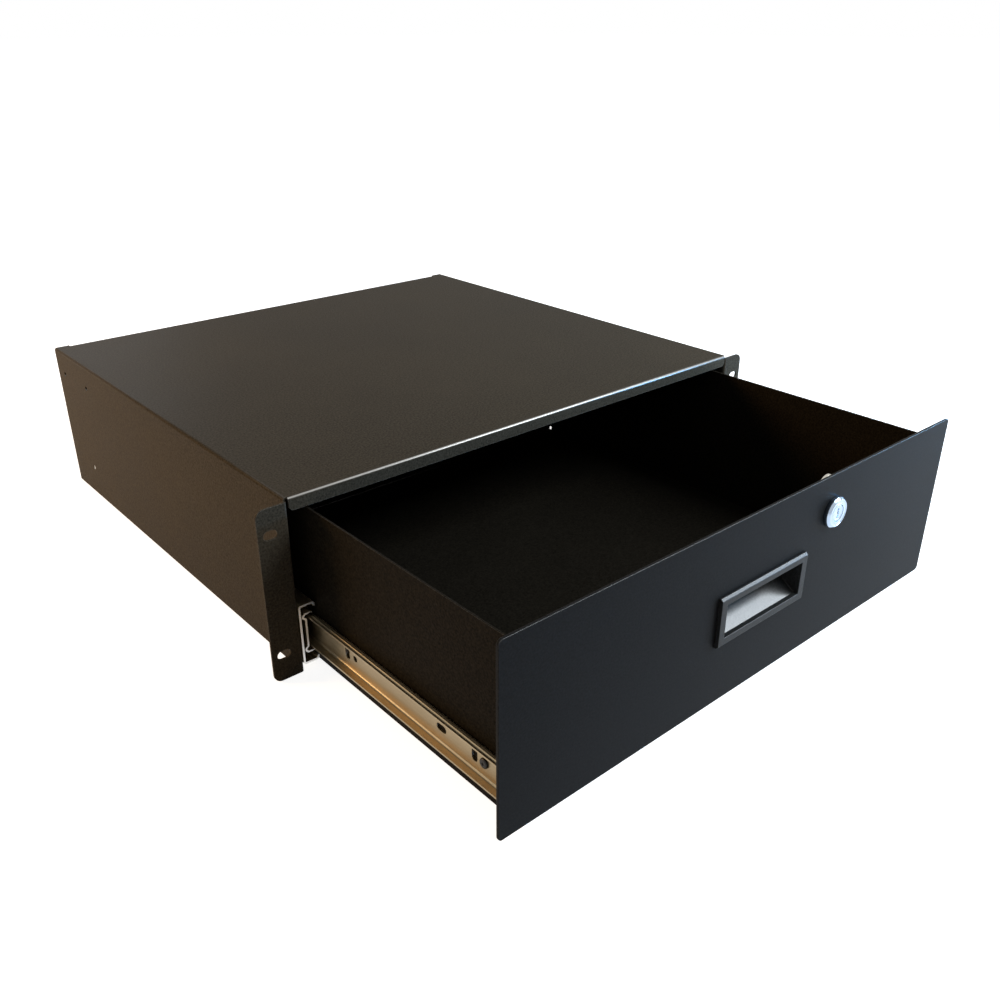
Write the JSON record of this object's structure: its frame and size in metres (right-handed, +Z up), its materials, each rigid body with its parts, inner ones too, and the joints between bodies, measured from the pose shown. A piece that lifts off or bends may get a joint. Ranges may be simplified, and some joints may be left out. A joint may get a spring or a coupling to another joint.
{
  "type": "sliding rack drawer",
  "caption": "Lockable steel drawer on ball-bearing slides in a folded case with slotted rack ears and a recessed pull handle.",
  "frame": {"origin": "middle of the four rack slots, on the back face of the ears, where they meet the rack rails", "axes": "+Z up, -Y towards the user, out of the rack, +X to the right seen from the front"},
  "size_m": [0.4826, 0.6181, 0.1296],
  "materials": {
    "case_coat": "black fine-texture powder coat",
    "drawer_coat": "black fine-texture powder coat",
    "slide_zinc": "bright zinc plating",
    "cage_zinc": "zinc plating",
    "ball_steel": "polished steel",
    "fastener_zinc": "zinc plating",
    "handle_black": "fine-grained black plastic",
    "lock_chrome": "chrome plating",
    "lock_zinc": "zinc plating"
  },
  "bodies": {
    "case": {"case_shell": "case_coat", "outer_rail_left": "slide_zinc", "outer_rail_right": "slide_zinc", "case_rail_screws_left": "fastener_zinc", "case_rail_screws_right": "fastener_zinc"},
    "drawer": {"drawer_tray": "drawer_coat", "front_panel": "drawer_coat", "panel_studs": "fastener_zinc", "panel_nuts": "fastener_zinc", "pull_handle": "handle_black", "drawer_rail_left": "slide_zinc", "drawer_rail_right": "slide_zinc", "drawer_rail_screws_left": "fastener_zinc", "drawer_rail_screws_right": "fastener_zinc", "lock_housing": "lock_chrome", "lock_nut": "lock_zinc"},
    "key_plug": {"lock_plug": "lock_chrome", "lock_cam": "lock_zinc", "lock_cam_screw": "fastener_zinc"},
    "mid_left": {"mid_rail_left": "slide_zinc"},
    "outer_cage_left": {"outer_cage_left": "cage_zinc", "outer_balls_left": "ball_steel"},
    "inner_cage_left": {"inner_cage_left": "cage_zinc", "inner_balls_left": "ball_steel"},
    "mid_right": {"mid_rail_right": "slide_zinc"},
    "outer_cage_right": {"outer_cage_right": "cage_zinc", "outer_balls_right": "ball_steel"},
    "inner_cage_right": {"inner_cage_right": "cage_zinc", "inner_balls_right": "ball_steel"}
  },
  "joints": [
    {"name": "drawer_slide", "type": "slide", "parent": "case", "child": "drawer", "axis": [0, -1, 0], "range_m": [-0.2, 0.2]},
    {"name": "lock_turn", "type": "hinge", "parent": "drawer", "child": "key_plug", "pos_m": [0.0723, -0.204, 0.0377], "axis": [0, 1, 0], "range_deg": [0, 90]},
    {"name": "mid_left_slide", "type": "slide", "parent": "case", "child": "mid_left", "axis": [0, -1, 0], "range_m": [-0.1, 0.1]},
    {"name": "outer_cage_left_slide", "type": "slide", "parent": "case", "child": "outer_cage_left", "axis": [0, -1, 0], "range_m": [-0.05, 0.05]},
    {"name": "inner_cage_left_slide", "type": "slide", "parent": "case", "child": "inner_cage_left", "axis": [0, -1, 0], "range_m": [-0.15, 0.15]},
    {"name": "mid_right_slide", "type": "slide", "parent": "case", "child": "mid_right", "axis": [0, -1, 0], "range_m": [-0.1, 0.1]},
    {"name": "outer_cage_right_slide", "type": "slide", "parent": "case", "child": "outer_cage_right", "axis": [0, -1, 0], "range_m": [-0.05, 0.05]},
    {"name": "inner_cage_right_slide", "type": "slide", "parent": "case", "child": "inner_cage_right", "axis": [0, -1, 0], "range_m": [-0.15, 0.15]}
  ],
  "couplings": [
    {"joint": "mid_left_slide", "follows": "drawer_slide", "ratio": 0.5},
    {"joint": "outer_cage_left_slide", "follows": "drawer_slide", "ratio": 0.25},
    {"joint": "inner_cage_left_slide", "follows": "drawer_slide", "ratio": 0.75},
    {"joint": "mid_right_slide", "follows": "drawer_slide", "ratio": 0.5},
    {"joint": "outer_cage_right_slide", "follows": "drawer_slide", "ratio": 0.25},
    {"joint": "inner_cage_right_slide", "follows": "drawer_slide", "ratio": 0.75}
  ]
}
